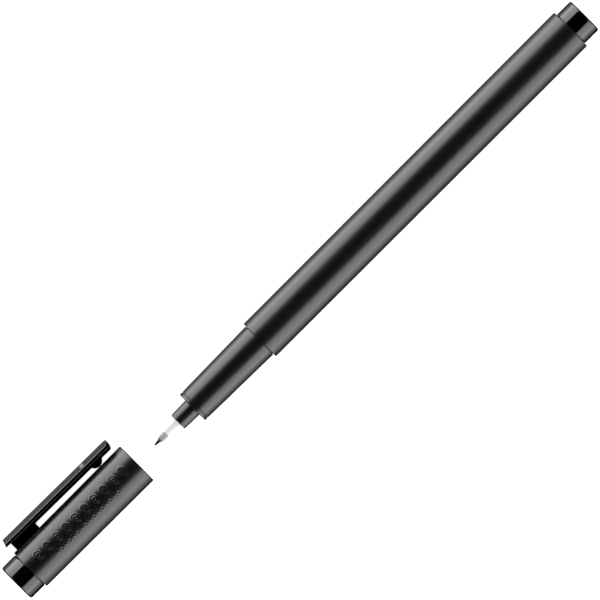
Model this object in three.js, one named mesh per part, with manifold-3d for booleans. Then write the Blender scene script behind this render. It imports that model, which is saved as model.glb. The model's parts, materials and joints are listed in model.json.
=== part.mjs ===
// A capped fibre-tip drawing pen, lying on a table with its cap pulled off in line.
//
// Units are millimetres. Each round piece is drawn along +X, which points from the pen's rear end to its
// writing tip. In the pen group x = 0 is the barrel's front shoulder, where the seated cap stops. In the cap
// group x = 0 is the cap's mouth, and the clip stands on the cap's +Z side. The whole pen is then rolled
// about X until the clip's edge and the cap's rim stand on one plane, and set down on it at z = 0.

import * as THREE from "three";
import { mergeVertices } from "three/addons/utils/BufferGeometryUtils.js";
import Module from "manifold-3d";

// ---------------------------------------------------------------- driving dimensions

const SEGMENTS = 48; // sides of a large round piece
const FINE_SEGMENTS = 24; // sides of a round piece under 7 mm across
const FIT_GAP = 0.1; // between two pieces that are pressed or snapped together
const RUN_GAP = 0.1; // between the cap and the section it slides over
const POST_GAP = 0.035; // between the cap and the rear plug, when the cap is pushed on there
const SEAL_GAP = 0.05; // between the inner cap's ring and the nose

// Barrel
const BARREL_LENGTH = 100;
const BARREL_FRONT_R = 5.235;
const BARREL_SWELL = 0.11; // how much larger its radius is at the rear
const BARREL_WALL = 0.97;
const BARREL_REAR_ROUND = 0.35;
const RIB_COUNT = 4;
const RIB_WIDTH = 0.8;

// Front section, which the fingers hold and the cap covers
const SECTION_LENGTH = 21.66;
const SHOULDER = 0.735; // step down from the barrel's radius
const SECTION_TAPER = 0.375; // how much smaller its radius is at the front
const SECTION_WEB = 9.1; // solid length between the wide bore and the lip's face
const SPIGOT_LENGTH = 8; // the part of the section inside the barrel
const SPIGOT_WALL = 0.6;
const LIP_LENGTH = 0.78;
const GROOVE_WIDTH = 0.3;
const GROOVE_DEPTH = 0.17;
const NOSE_LENGTH = 4.64;
const NOSE_STEP = 1.815; // width of the flat ring around its root
const NOSE_TAPER = 0.095;
const NOSE_WALL = 0.23; // at its front end

// Tip holder and nib
const HOLDER_CONE = 3.84; // length that shows in front of the nose
const HOLDER_STEP = 0.1; // between the nose's bore and the cone's wide end
const HOLDER_SHOULDER = 0.17; // between the cone's narrow end and the rim
const HOLDER_RIM = 0.35; // length of the narrow rim around the nib
const HOLDER_RIM_WALL = 0.14;
const HOLDER_LEDGE = 0.7; // how far the flange stands out from the nose's bore
const HOLDER_FLANGE = 0.8;
const FLUTE_COUNT = 3;
const FLUTE_SIZE = 0.4;
const NIB_R = 0.86;
const NIB_STRAIGHT = 1.4; // length of the full-width nib in front of the holder
const NIB_CONE = 0.95;
const NIB_FRONT_WALL = 0.08;
const POINT_LENGTH = 1.35;
const POINT_R = 0.2;
const CORE_R = 0.36;
const NIB_IN_RESERVOIR = 6; // how far the nib's tail reaches into the fibre

// Ink reservoir
const FILM_THICKNESS = 0.13;
const FILM_GAP = 0.06;
const RESERVOIR_END_GAP = 0.2;

// Rear plug
const REAR_HEAD = 4.5;
const REAR_SPIGOT = 7.2;
const REAR_STUB = 4; // the stub that holds the reservoir forward
const REAR_STUB_R = 2.6;
const PLUG_WALL = 0.7;
const PLUG_ROUND = 0.45;

// Cap
const CAP_PAST_POINT = 0.4; // how far its tube reaches beyond the point when the cap is on
const CAP_WALL = 0.85; // at the mouth
const CAP_TAPER = 0.14;
const CAP_END_WALL = 0.76;
const CAP_ROUND = 0.2;
const CAP_BEAD = 0.4; // width of the snap bead inside the cap
const BEAD_GAP = 0.06;
const CAP_HEAD = 4.4;
const CAP_HEAD_STEP = 0.53; // how much smaller the plug's radius is than the cap's
const CAP_SPIGOT = 4.8;
const CAP_TRAVEL = 39.4; // how far the cap is pulled off the pen

// Inner cap, the cup that seals the tip
const CUP_ROOM = 1.24; // between its mouth and the lip's face when the cap is on
const CUP_WALL = 0.775;
const CUP_BASE = 0.9; // thickness of its closed end
const CUP_TIP_ROOM = 0.7; // free length beyond the point when the cap is on

// Clip
const CLIP_FREE_INSET = 1.34; // from the cap's mouth to the clip's free end
const CLIP_ROOT_INSET = 0.25; // from the cap's far end back to the clip's top edge
const CLIP_ROOT_SLANT = 0.5;
const CLIP_GAP = 1.25; // between the cap at its mouth and the rib
const CLIP_RIB_HEIGHT = 0.65;
const CLIP_SIDE_HEIGHT = 0.8;
const CLIP_BEVEL_HEIGHT = 1.09;
const CLIP_WIDTH = 5.2;
const CLIP_FLAT = 0.5; // width of the flat on top, between the two bevels
const CLIP_RIB_WIDTH = 2.8;
const CLIP_DROP = 0.3; // how much lower the free end lies than the root
const CLIP_TIP = 1.5; // length over which the free end is rounded, seen from above
const CLIP_TIP_SIDE = 0.5; // half of what is left of the width at its very end
const CLIP_CHIN = [0.85, 1.6]; // length and height of the rounding under the free end
const FOOT_INSET = 1.07; // from the cap's far end to the foot
const FOOT_LENGTH = 7.18;
const FOOT_WEB = 0.2; // inside corner between the foot's front and the arm
const TENON_INSET = 0.4;
const TENON_WIDTH = 2.2;
const HOOK_REACH = 0.3;
const HOOK_HEIGHT = 0.4;
const FLEX_LINE = 0.3; // distance in front of the foot where the arm bends
const FLEX_KERF = 0.2;
const NUB_INSET = 5.09; // from the clip's free end to the middle of the nub
const NUB_R = 1.75;

// ---------------------------------------------------------------- sizes that follow from them

const BARREL_REAR_R = BARREL_FRONT_R + BARREL_SWELL;
const BARREL_BORE_R = BARREL_FRONT_R - BARREL_WALL;
const SECTION_ROOT_R = BARREL_FRONT_R - SHOULDER;
const SECTION_FRONT_R = SECTION_ROOT_R - SECTION_TAPER;
const SECTION_BORE_R = BARREL_BORE_R - FIT_GAP - SPIGOT_WALL;
const WIDE_BORE_END = SECTION_LENGTH - SECTION_WEB;
const NOSE_END = SECTION_LENGTH + NOSE_LENGTH;
const NOSE_ROOT_R = SECTION_FRONT_R - NOSE_STEP;
const NOSE_FRONT_R = NOSE_ROOT_R - NOSE_TAPER;
const NOSE_BORE_R = NOSE_FRONT_R - NOSE_WALL;
const HOLDER_END = NOSE_END + HOLDER_CONE;
const HOLDER_R = NOSE_BORE_R - HOLDER_STEP;
const HOLDER_FLANGE_R = NOSE_BORE_R + HOLDER_LEDGE;
const HOLDER_RIM_R = NIB_R + HOLDER_RIM_WALL;
const HOLDER_FRONT_R = HOLDER_RIM_R + HOLDER_SHOULDER;
const HOLDER_TAIL = WIDE_BORE_END - FIT_GAP - HOLDER_FLANGE;
const NIB_END = HOLDER_END + NIB_STRAIGHT + NIB_CONE;
const NIB_FRONT_R = CORE_R + NIB_FRONT_WALL;
const POINT_END = NIB_END + POINT_LENGTH;

const RESERVOIR_FRONT = HOLDER_TAIL - RESERVOIR_END_GAP;
const NIB_TAIL = RESERVOIR_FRONT - NIB_IN_RESERVOIR;
const REAR_HEAD_R = SECTION_ROOT_R + RUN_GAP - POST_GAP;
const REAR_SPIGOT_END = -BARREL_LENGTH + REAR_SPIGOT;
const REAR_STUB_END = REAR_SPIGOT_END + REAR_STUB;
const RESERVOIR_REAR = REAR_STUB_END + RESERVOIR_END_GAP;
const FILM_R = SECTION_BORE_R - FIT_GAP;
const FILM_INNER_R = FILM_R - FILM_THICKNESS;
const RESERVOIR_R = FILM_INNER_R - FILM_GAP;
const RIB_INNER_R = FILM_R + FIT_GAP;

const CAP_LENGTH = POINT_END + CAP_PAST_POINT;
const CAP_MOUTH_R = SECTION_ROOT_R + RUN_GAP + CAP_WALL;
const CAP_END_R = CAP_MOUTH_R - CAP_TAPER;
const CAP_END_BORE_R = CAP_END_R - CAP_END_WALL;
const CAP_HEAD_R = CAP_END_R - CAP_HEAD_STEP;
const CUP_MOUTH = SECTION_LENGTH + CUP_ROOM;
const CUP_R = NOSE_ROOT_R + RUN_GAP + CUP_WALL;
const CUP_END = POINT_END + CUP_TIP_ROOM + CUP_BASE;

const CLIP_ROOT_TOP = CAP_LENGTH - CLIP_ROOT_INSET;
const CLIP_ROOT_BOTTOM = CLIP_ROOT_TOP + CLIP_ROOT_SLANT;
const CLIP_LENGTH = CLIP_ROOT_TOP - CLIP_FREE_INSET;
const CLIP_RIB_UNDERSIDE = CAP_MOUTH_R + CLIP_GAP;
const CLIP_UNDERSIDE = CLIP_RIB_UNDERSIDE + CLIP_RIB_HEIGHT;
const CLIP_EDGE = CLIP_UNDERSIDE + CLIP_SIDE_HEIGHT;
const CLIP_TOP = CLIP_EDGE + CLIP_BEVEL_HEIGHT;
const FOOT_END = CAP_LENGTH - FOOT_INSET;
const FOOT_FRONT = FOOT_END - FOOT_LENGTH;
const NUB_AT = CLIP_FREE_INSET + NUB_INSET;

// Radius of the section's tapered outside at a distance from the barrel's shoulder.
const sectionRadius = (x) =>
  THREE.MathUtils.lerp(SECTION_ROOT_R, SECTION_FRONT_R, x / SECTION_LENGTH);

// Radius of the nose at a distance from the barrel's shoulder.
const noseRadius = (x) =>
  THREE.MathUtils.lerp(NOSE_ROOT_R, NOSE_FRONT_R, (x - SECTION_LENGTH) / NOSE_LENGTH);

// Radius of the cap's outside at a distance from its mouth.
const capRadius = (x) => THREE.MathUtils.lerp(CAP_MOUTH_R, CAP_END_R, x / CAP_LENGTH);

// ---------------------------------------------------------------- shape helpers

const wasm = await Module();
wasm.setup();

// A closed three.js geometry as a manifold-3d solid.
function toSolid(geometry) {
  const bare = geometry.index ? geometry.toNonIndexed() : geometry.clone();
  bare.deleteAttribute("normal");
  bare.deleteAttribute("uv");
  const merged = mergeVertices(bare, 1e-4);
  const vertProperties = merged.attributes.position.array;
  const triVerts = new Uint32Array(merged.index.array);
  return new wasm.Manifold(new wasm.Mesh({ numProp: 3, vertProperties, triVerts }));
}

// A manifold-3d solid back as a three.js geometry.
function toGeometry(solid) {
  const { numProp, numVert, vertProperties, triVerts } = solid.getMesh();
  const positions = new Float32Array(numVert * 3);
  for (let i = 0; i < numVert; i++) {
    positions.set(vertProperties.subarray(i * numProp, i * numProp + 3), i * 3);
  }
  const geometry = new THREE.BufferGeometry();
  geometry.setAttribute("position", new THREE.BufferAttribute(positions, 3));
  geometry.setIndex(new THREE.BufferAttribute(triVerts, 1));
  return geometry;
}

// A profile of [x, radius] points turned about the X axis. It starts and ends on the axis, or closes on
// itself.
function turned(profile, segments = SEGMENTS) {
  const onAxis = profile[0][1] === 0;
  const points = profile.map(([x, r]) => new THREE.Vector2(r, x));
  if (THREE.ShapeUtils.area(points) < 0) points.reverse();
  if (!onAxis) points.push(points[0].clone());
  return new THREE.LatheGeometry(points, segments).rotateZ(-Math.PI / 2);
}

// Points of a round corner on a profile, from one angle to another in degrees about [x, radius].
function round(x, r, radius, from, to, steps = 4) {
  return Array.from({ length: steps + 1 }, (_, i) => {
    const angle = THREE.MathUtils.degToRad(from + ((to - from) * i) / steps);
    return [x + radius * Math.cos(angle), r + radius * Math.sin(angle)];
  });
}

// A box between two corners.
function box([x0, y0, z0], [x1, y1, z1]) {
  const geometry = new THREE.BoxGeometry(x1 - x0, y1 - y0, z1 - z0);
  return geometry.translate((x0 + x1) / 2, (y0 + y1) / 2, (z0 + z1) / 2);
}

// An outline of [x, z] points as a slab across the pen, centred on its mid-plane.
function slab(outline, width) {
  const shape = new THREE.Shape(outline.map(([x, z]) => new THREE.Vector2(x, z)));
  const geometry = new THREE.ExtrudeGeometry(shape, { depth: width, bevelEnabled: false });
  return geometry.translate(0, 0, -width / 2).rotateX(Math.PI / 2);
}

// An outline of [y, z] points as a bar along the pen.
function bar(outline, x0, x1) {
  const shape = new THREE.Shape(outline.map(([y, z]) => new THREE.Vector2(y, z)));
  const geometry = new THREE.ExtrudeGeometry(shape, { depth: x1 - x0, bevelEnabled: false });
  return geometry.rotateY(Math.PI / 2).rotateX(Math.PI / 2).translate(x0, 0, 0);
}

// An outline of [x, y] points as a plate between two heights.
function plate(outline, z0, z1) {
  const shape = new THREE.Shape(outline.map(([x, y]) => new THREE.Vector2(x, y)));
  return new THREE.ExtrudeGeometry(shape, { depth: z1 - z0, bevelEnabled: false }).translate(0, 0, z0);
}

// Copies of a geometry spaced evenly about the X axis.
function around(geometry, count) {
  return Array.from({ length: count }, (_, i) => geometry.clone().rotateX((2 * Math.PI * i) / count));
}

const join = (...geometries) => toGeometry(geometries.map(toSolid).reduce((a, b) => a.add(b)));
const cut = (first, ...rest) =>
  toGeometry(rest.map(toSolid).reduce((a, b) => a.subtract(b), toSolid(first)));
const common = (a, b) => toGeometry(toSolid(a).intersect(toSolid(b)));

// ---------------------------------------------------------------- materials

const plastic = (color, roughness) => new THREE.MeshStandardMaterial({ color, roughness, metalness: 0 });

const SATIN_ANTHRACITE = plastic(0x2c2b2d, 0.42);
const GLOSS_BLACK = plastic(0x0b0b0c, 0.12);
const WHITE_PLASTIC = plastic(0xeeeeec, 0.35);
const CLEAR_NIB = plastic(0xd2d2cf, 0.3);
const BLACK_INK = plastic(0x0a0a0b, 0.5);
const FIBRE = plastic(0x1a1a1d, 0.95);
const FILM = plastic(0xd8dadc, 0.25);
const SOFT_NATURAL = plastic(0xe4e2dc, 0.5);

function piece(name, geometry, material) {
  const mesh = new THREE.Mesh(geometry, material);
  mesh.name = name;
  return mesh;
}

// ---------------------------------------------------------------- pen body

// The outer tube, open at both ends, with ribs inside that keep the reservoir in the middle.
function barrel() {
  const tube = turned([
    [-BARREL_LENGTH, BARREL_BORE_R],
    ...round(
      -BARREL_LENGTH + BARREL_REAR_ROUND,
      BARREL_REAR_R - BARREL_REAR_ROUND,
      BARREL_REAR_ROUND,
      180,
      90,
    ),
    ...round(-CAP_ROUND, BARREL_FRONT_R - CAP_ROUND, CAP_ROUND, 90, 0, 2),
    [0, BARREL_BORE_R],
  ]);
  const rib = box(
    [REAR_SPIGOT_END + 2 * FIT_GAP, -RIB_WIDTH / 2, RIB_INNER_R],
    [-SPIGOT_LENGTH - 2 * FIT_GAP, RIB_WIDTH / 2, (BARREL_BORE_R + BARREL_FRONT_R) / 2],
  );
  return piece("barrel", join(tube, ...around(rib, RIB_COUNT)), SATIN_ANTHRACITE);
}

// The finger section with its snap lip, and the nose that holds the tip. Its rear spigot sits in the barrel.
function frontSection() {
  const lipStart = SECTION_LENGTH - LIP_LENGTH;
  const edge = 0.15;
  const profile = [
    [-SPIGOT_LENGTH, SECTION_BORE_R],
    [-SPIGOT_LENGTH, BARREL_BORE_R - FIT_GAP - edge],
    [-SPIGOT_LENGTH + edge, BARREL_BORE_R - FIT_GAP],
    [FIT_GAP, BARREL_BORE_R - FIT_GAP],
    [FIT_GAP, SECTION_ROOT_R - edge],
    [FIT_GAP + edge, SECTION_ROOT_R],
    [lipStart - GROOVE_WIDTH, sectionRadius(lipStart - GROOVE_WIDTH)],
    [lipStart - GROOVE_WIDTH / 2, sectionRadius(lipStart) - GROOVE_DEPTH],
    [lipStart, SECTION_FRONT_R],
    ...round(SECTION_LENGTH - CAP_ROUND, SECTION_FRONT_R - CAP_ROUND, CAP_ROUND, 90, 0, 3),
    [SECTION_LENGTH, NOSE_ROOT_R],
    [NOSE_END - edge, NOSE_FRONT_R],
    [NOSE_END, NOSE_FRONT_R - edge],
    [NOSE_END, NOSE_BORE_R],
    [WIDE_BORE_END, NOSE_BORE_R],
    [WIDE_BORE_END, SECTION_BORE_R],
  ];
  return piece("front_section", turned(profile), SATIN_ANTHRACITE);
}

// The white holder that grips the nib. A flange stops it from behind, and its flutes let air past.
function tipHolder() {
  const edge = 0.1;
  const shank = NOSE_BORE_R - FIT_GAP / 2;
  const profile = [
    [HOLDER_TAIL, NIB_R + FIT_GAP / 2],
    [HOLDER_TAIL, HOLDER_FLANGE_R],
    [HOLDER_TAIL + HOLDER_FLANGE, HOLDER_FLANGE_R],
    [HOLDER_TAIL + HOLDER_FLANGE, shank],
    [NOSE_END - edge, shank],
    [NOSE_END + edge, HOLDER_R],
    [HOLDER_END - HOLDER_RIM, HOLDER_FRONT_R],
    [HOLDER_END - HOLDER_RIM, HOLDER_RIM_R],
    [HOLDER_END, HOLDER_RIM_R],
    [HOLDER_END, NIB_R + FIT_GAP / 2],
  ];
  const flute = box(
    [HOLDER_TAIL - 1, -FLUTE_SIZE / 2, shank - FLUTE_SIZE],
    [NOSE_END - LIP_LENGTH, FLUTE_SIZE / 2, HOLDER_FLANGE_R + 1],
  );
  return piece(
    "tip_holder",
    cut(turned(profile, FINE_SEGMENTS), ...around(flute, FLUTE_COUNT)),
    WHITE_PLASTIC,
  );
}

// The hard translucent nib, a tube with a ground cone at its front.
function nibSleeve() {
  const bore = CORE_R + FIT_GAP / 2;
  const profile = [
    [NIB_TAIL, bore],
    [NIB_TAIL, NIB_R],
    [NIB_END - NIB_CONE, NIB_R],
    [NIB_END, NIB_FRONT_R],
    [NIB_END, bore],
  ];
  return piece("nib_sleeve", turned(profile, FINE_SEGMENTS), CLEAR_NIB);
}

// The ink-carrying core that ends in the writing point.
function nibCore() {
  const profile = [
    [NIB_TAIL, 0],
    [NIB_TAIL, CORE_R],
    [NIB_END, CORE_R],
    ...round(POINT_END - POINT_R, 0, POINT_R, 78, 0, 4),
  ];
  profile[profile.length - 1] = [POINT_END, 0];
  return piece("nib_core", turned(profile, FINE_SEGMENTS), BLACK_INK);
}

// The bonded-fibre reservoir, with a socket in front for the nib's tail.
function reservoir() {
  const socketEnd = NIB_TAIL - RESERVOIR_END_GAP;
  const profile = [
    [RESERVOIR_REAR, 0],
    [RESERVOIR_REAR, RESERVOIR_R],
    [RESERVOIR_FRONT, RESERVOIR_R],
    [RESERVOIR_FRONT, NIB_R + FIT_GAP / 2],
    [socketEnd, NIB_R + FIT_GAP / 2],
    [socketEnd, 0],
  ];
  return piece("reservoir", turned(profile), FIBRE);
}

// The plastic film wrapped round the reservoir, open at both ends.
function reservoirFilm() {
  const profile = [
    [RESERVOIR_REAR, FILM_INNER_R],
    [RESERVOIR_REAR, FILM_R],
    [RESERVOIR_FRONT, FILM_R],
    [RESERVOIR_FRONT, FILM_INNER_R],
  ];
  return piece("reservoir_film", turned(profile), FILM);
}

// The rear plug, slimmer than the barrel so that the cap can be posted on it.
function rearPlug() {
  const end = -BARREL_LENGTH - REAR_HEAD;
  const face = -BARREL_LENGTH - FIT_GAP;
  const spigotR = BARREL_BORE_R - FIT_GAP;
  const edge = 0.2;
  const profile = [
    [end, 0],
    ...round(end + PLUG_ROUND, REAR_HEAD_R - PLUG_ROUND, PLUG_ROUND, 180, 90),
    [face, REAR_HEAD_R],
    [face, spigotR],
    [REAR_SPIGOT_END - edge, spigotR],
    [REAR_SPIGOT_END, spigotR - edge],
    [REAR_SPIGOT_END, REAR_STUB_R],
    [REAR_STUB_END, REAR_STUB_R],
    [REAR_STUB_END, REAR_STUB_R - PLUG_WALL],
    [face, REAR_STUB_R - PLUG_WALL],
    [face, 0],
  ];
  return piece("rear_plug", turned(profile), GLOSS_BLACK);
}

// ---------------------------------------------------------------- cap

// The cap's tube. Its bore follows the section's taper, and its bead snaps behind the section's lip.
function capBody() {
  const leadIn = 0.3;
  const lipStart = SECTION_LENGTH - LIP_LENGTH;
  const beadAt = lipStart - GROOVE_WIDTH / 2 - FIT_GAP;
  const bore = (x) => sectionRadius(x) + RUN_GAP;
  const stepAt = SECTION_LENGTH + 2 * CAP_BEAD;
  const tube = turned([
    [0, bore(0) + leadIn / 2],
    ...round(CAP_ROUND, CAP_MOUTH_R - CAP_ROUND, CAP_ROUND, 180, 90, 2),
    ...round(CAP_LENGTH - CAP_ROUND, CAP_END_R - CAP_ROUND, CAP_ROUND, 90, 0, 3),
    [CAP_LENGTH, CAP_END_BORE_R],
    [stepAt + CAP_BEAD, CAP_END_BORE_R],
    [stepAt, bore(SECTION_LENGTH)],
    [beadAt + CAP_BEAD, bore(SECTION_LENGTH)],
    [beadAt, SECTION_FRONT_R + BEAD_GAP],
    [beadAt - CAP_BEAD, bore(beadAt)],
    [leadIn, bore(leadIn)],
  ]);
  const window = box(
    [FOOT_FRONT + TENON_INSET - FIT_GAP, -TENON_WIDTH / 2 - FIT_GAP, 0],
    [FOOT_END - TENON_INSET + FIT_GAP, TENON_WIDTH / 2 + FIT_GAP, CLIP_TOP],
  );
  return piece("cap_body", cut(tube, window), SATIN_ANTHRACITE);
}

// The plug that closes the cap. Its spigot straddles the clip's foot and holds the inner cap.
function capEndPlug() {
  const face = CAP_LENGTH + FIT_GAP;
  const end = face + CAP_HEAD;
  const spigotEnd = CAP_LENGTH - CAP_SPIGOT;
  const bore = CUP_R + FIT_GAP;
  const edge = 0.25;
  const solid = turned([
    [end, 0],
    ...round(end - PLUG_ROUND, CAP_HEAD_R - PLUG_ROUND, PLUG_ROUND, 0, 90),
    ...round(face + edge, CAP_HEAD_R - edge, edge, 90, 180, 2),
    [face, CAP_END_BORE_R - FIT_GAP],
    [spigotEnd, CAP_END_BORE_R - FIT_GAP],
    [spigotEnd, bore],
    [CUP_END + FIT_GAP, bore],
    [CUP_END + FIT_GAP, 0],
  ]);
  const slotSide = TENON_WIDTH / 2 + 2 * FIT_GAP;
  const slot = box(
    [spigotEnd - 1, -slotSide, 0],
    [FOOT_END - TENON_INSET + HOOK_REACH + 2 * FIT_GAP, slotSide, CAP_END_R],
  );
  return piece("cap_end_plug", cut(solid, slot), GLOSS_BLACK);
}

// The soft cup inside the cap. Its inner ring seals on the nose, so the tip can't dry out.
function innerCap() {
  const bore = NOSE_ROOT_R + RUN_GAP;
  const boreEnd = NOSE_END + 2 * RUN_GAP;
  const ring = (CUP_MOUTH + boreEnd) / 2;
  const ringR = noseRadius(ring) + SEAL_GAP;
  const chamber = NOSE_BORE_R + 2 * RUN_GAP;
  const leadIn = 0.35;
  const profile = [
    [CUP_END, 0],
    [CUP_END, CUP_R],
    [CUP_MOUTH, CUP_R],
    [CUP_MOUTH, bore + leadIn],
    [CUP_MOUTH + leadIn, bore],
    [ring - leadIn, bore],
    [ring, ringR],
    [ring + leadIn, bore],
    [boreEnd, bore],
    [boreEnd, chamber],
    [CUP_END - CUP_BASE, chamber],
    [CUP_END - CUP_BASE, 0],
  ];
  return piece("inner_cap", turned(profile, FINE_SEGMENTS), SOFT_NATURAL);
}

// ---------------------------------------------------------------- clip

// Points of a quarter ellipse, from its first half-axis to its second, about a centre.
function quarter([x, y], [dx, dy], steps = 5) {
  return Array.from({ length: steps + 1 }, (_, i) => {
    const angle = (Math.PI / 2) * (i / steps);
    return [x + dx * Math.cos(angle), y + dy * Math.sin(angle)];
  });
}

// The bevelled bar with its stiffening rib, which the foot and the arm are cut from.
function clipBar() {
  const [chin, chinHeight] = CLIP_CHIN;
  const small = 0.3;
  const side = [
    [CLIP_ROOT_TOP, CLIP_TOP],
    ...round(CLIP_FREE_INSET + small, CLIP_TOP - small, small, 90, 180, 2),
    ...quarter([CLIP_FREE_INSET + chin, CLIP_RIB_UNDERSIDE + chinHeight], [-chin, -chinHeight]),
    [FOOT_END, CLIP_RIB_UNDERSIDE],
    [FOOT_END, CLIP_UNDERSIDE],
    [CLIP_ROOT_BOTTOM, CLIP_UNDERSIDE],
  ];
  const half = [
    [CLIP_FLAT / 2, CLIP_TOP],
    [CLIP_WIDTH / 2, CLIP_EDGE],
    [CLIP_WIDTH / 2, CLIP_UNDERSIDE],
    [CLIP_RIB_WIDTH / 2, CLIP_UNDERSIDE],
    [CLIP_RIB_WIDTH / 2, CLIP_RIB_UNDERSIDE],
  ];
  const section = [...half, ...half.map(([y, z]) => [-y, z]).reverse()];
  const tipCorner = [CLIP_FREE_INSET + CLIP_TIP, CLIP_TIP_SIDE];
  const halfPlan = quarter(tipCorner, [-CLIP_TIP, CLIP_WIDTH / 2 - CLIP_TIP_SIDE]);
  const plan = [
    ...halfPlan.map(([x, y]) => [x, -y]),
    [CLIP_ROOT_BOTTOM + 1, -CLIP_WIDTH / 2],
    [CLIP_ROOT_BOTTOM + 1, CLIP_WIDTH / 2],
    ...halfPlan.reverse(),
  ];
  const straight = common(
    common(slab(side, CLIP_WIDTH + 1), bar(section, 0, CLIP_ROOT_BOTTOM + 1)),
    plate(plan, 0, CLIP_TOP + 1),
  );
  return straight
    .translate(-CLIP_ROOT_TOP, 0, -CLIP_TOP)
    .rotateY(-Math.atan(CLIP_DROP / CLIP_LENGTH))
    .translate(CLIP_ROOT_TOP, 0, CLIP_TOP);
}

// Solid block that takes everything of the clip on one side of a plane across it.
const clipKeep = (x0, x1) => box([x0, -CLIP_WIDTH, 0], [x1, CLIP_WIDTH, 2 * CLIP_TOP]);

// The clip's root: it stands on the cap, and its tenon hooks under the edges of the cap's window.
function clipFoot() {
  const top = (CLIP_RIB_UNDERSIDE + CLIP_UNDERSIDE) / 2;
  const webBottom = CLIP_RIB_UNDERSIDE - CLIP_DROP / 3;
  const root = common(clipBar(), clipKeep(FOOT_FRONT - FLEX_LINE, CLIP_ROOT_BOTTOM + 1));
  const outline = [
    [FOOT_END, 0],
    [FOOT_END, top],
    [FOOT_FRONT - FOOT_WEB, top],
    [FOOT_FRONT - FOOT_WEB, webBottom],
    [FOOT_FRONT, webBottom - FOOT_WEB],
    [FOOT_FRONT, 0],
  ];
  const capOutside = turned([
    [0, 0],
    [0, capRadius(0) + FIT_GAP],
    [CAP_LENGTH, capRadius(CAP_LENGTH) + FIT_GAP],
    [CAP_LENGTH, 0],
  ]);
  const block = cut(slab(outline, CLIP_RIB_WIDTH), capOutside);
  const hookTop = CAP_END_BORE_R - FIT_GAP - (TENON_WIDTH / 2) ** 2 / (2 * CAP_END_BORE_R);
  const hookBottom = hookTop - HOOK_HEIGHT;
  const tenon = box(
    [FOOT_FRONT + TENON_INSET, -TENON_WIDTH / 2, hookBottom],
    [FOOT_END - TENON_INSET, TENON_WIDTH / 2, CLIP_RIB_UNDERSIDE],
  );
  const hook = box(
    [FOOT_FRONT + TENON_INSET - HOOK_REACH, -TENON_WIDTH / 2, hookBottom],
    [FOOT_END - TENON_INSET + HOOK_REACH, TENON_WIDTH / 2, hookTop],
  );
  return piece("clip_foot", join(root, block, tenon, hook), GLOSS_BLACK);
}

// The clip's springing arm, with the nub that presses on the cap.
function clipArm() {
  const end = FOOT_FRONT - FLEX_LINE - FLEX_KERF;
  const arm = common(clipBar(), clipKeep(CLIP_FREE_INSET - 1, end));
  const centre = capRadius(NUB_AT) + FIT_GAP + NUB_R;
  const nub = slab(round(NUB_AT, centre, NUB_R, 180, 360, 12), CLIP_RIB_WIDTH);
  const neck = box(
    [NUB_AT - NUB_R, -CLIP_RIB_WIDTH / 2, Math.min(centre, CLIP_RIB_UNDERSIDE)],
    [NUB_AT + NUB_R, CLIP_RIB_WIDTH / 2, CLIP_UNDERSIDE],
  );
  return piece("clip_arm", join(arm, nub, neck), GLOSS_BLACK);
}

// ---------------------------------------------------------------- assembly

// The angle below the horizontal at which the clip leans when one of its edges, given as its distance from
// the mid-plane and its height from the axis, comes down to the plane that the cap's rim stands on.
function leanOf([y, z]) {
  return Math.asin(CAP_MOUTH_R / Math.hypot(y, z)) - Math.atan2(y, z);
}

const body = new THREE.Group();
body.add(barrel(), frontSection(), tipHolder(), nibSleeve(), nibCore());
body.add(reservoir(), reservoirFilm(), rearPlug());

const cap = new THREE.Group();
cap.add(capBody(), capEndPlug(), innerCap(), clipFoot(), clipArm());
cap.position.x = FIT_GAP + CAP_TRAVEL;

const lean = Math.min(
  leanOf([CLIP_FLAT / 2, CLIP_TOP]),
  leanOf([CLIP_WIDTH / 2, CLIP_EDGE]),
  leanOf([CLIP_WIDTH / 2, CLIP_UNDERSIDE]),
);
const pen = new THREE.Group();
pen.add(body, cap);
pen.rotation.x = Math.PI / 2 + lean;
pen.updateMatrixWorld(true);

const bounds = new THREE.Box3().setFromObject(pen, true);
const middle = bounds.getCenter(new THREE.Vector3());
pen.position.set(-middle.x, -middle.y, -bounds.min.z);

const part = new THREE.Group();
part.add(pen);

export default part;
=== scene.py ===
"""The drawing pen as a Blender add-on, run as a script: every visible piece is a surface worked out
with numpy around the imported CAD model, and each has a procedural plastic or ink material.

Axes: +X runs from the pen's rear end to its tip and on to the cap; z = 0 is the table. A piece
is worked out in millimetres in the pen's own axes: x along it, y across the clip and z out
through the clip. x is counted from the barrel's shoulder for the pen's pieces and from the cap's
mouth for the cap's.
"""

import json

import bmesh
import bpy
import numpy as np
from bpy.props import FloatProperty, FloatVectorProperty, IntProperty, PointerProperty
from mathutils import Matrix, Vector


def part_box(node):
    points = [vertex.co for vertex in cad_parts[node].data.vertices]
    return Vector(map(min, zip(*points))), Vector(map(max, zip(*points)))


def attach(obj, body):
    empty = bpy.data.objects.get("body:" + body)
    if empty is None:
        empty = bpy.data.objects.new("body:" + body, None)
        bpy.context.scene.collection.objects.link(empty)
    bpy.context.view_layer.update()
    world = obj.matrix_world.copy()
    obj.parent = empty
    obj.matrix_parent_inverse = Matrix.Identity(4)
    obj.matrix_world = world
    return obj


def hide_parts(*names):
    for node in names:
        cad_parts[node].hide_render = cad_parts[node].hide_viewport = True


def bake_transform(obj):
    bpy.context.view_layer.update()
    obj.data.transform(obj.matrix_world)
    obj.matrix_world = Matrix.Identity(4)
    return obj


bl_info = {
    "name": "Drawing Pen",
    "version": (1, 0, 0),
    "blender": (4, 5, 0),
    "location": "3D View > Sidebar > Pen",
    "description": "Builds a capped fibre-tip drawing pen around its CAD frame",
    "category": "Add Mesh",
}

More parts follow.
